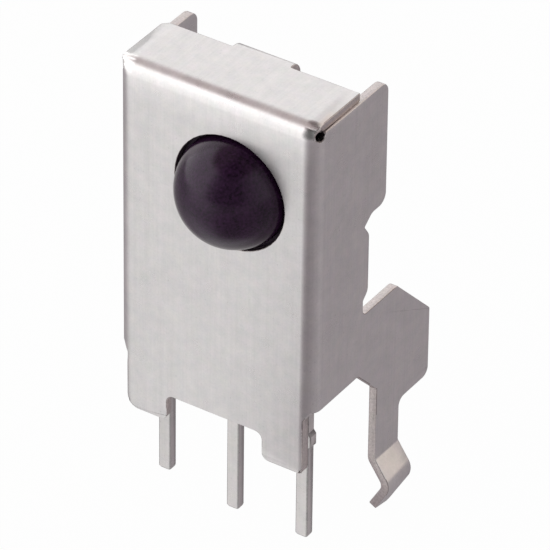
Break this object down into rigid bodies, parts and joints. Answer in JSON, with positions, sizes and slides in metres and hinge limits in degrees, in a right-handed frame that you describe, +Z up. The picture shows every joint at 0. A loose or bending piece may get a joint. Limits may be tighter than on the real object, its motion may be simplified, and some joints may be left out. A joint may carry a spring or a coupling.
{
  "type": "infrared receiver",
  "caption": "Infrared remote-control receiver: a dark moulded body with a domed lens in a folded tin-plated shield with board feet, a locking arm and straight leads",
  "frame": {"origin": "middle lead's centre on the board's face, level with the undersides of the two feet and the locking arm", "axes": "+Z up, away from the board; -Y the way the lens looks; +X towards the wall with the locking arm"},
  "size_m": [0.0077, 0.0082, 0.0166],
  "materials": {
    "tin_plate": "satin tin-plated strip with faint drawing lines",
    "dark_epoxy": "smooth moulded violet-black epoxy",
    "lead_tin": "satin tin-plated lead frame",
    "photodiode_silicon": "polished silicon with an oxide coat",
    "amplifier_silicon": "polished silicon",
    "die_attach": "silver-filled epoxy",
    "bond_gold": "drawn gold wire"
  },
  "bodies": {
    "root": {"shield_case": "tin_plate", "receiver_body": "dark_epoxy", "lead_output": "lead_tin", "lead_ground": "lead_tin", "lead_supply": "lead_tin", "photodiode_chip": "photodiode_silicon", "amplifier_chip": "amplifier_silicon", "photodiode_adhesive": "die_attach", "amplifier_adhesive": "die_attach", "photodiode_signal_wire": "bond_gold", "photodiode_bias_wire": "bond_gold", "output_wire": "bond_gold", "ground_wire": "bond_gold", "supply_wire": "bond_gold"}
  },
  "joints": []
}
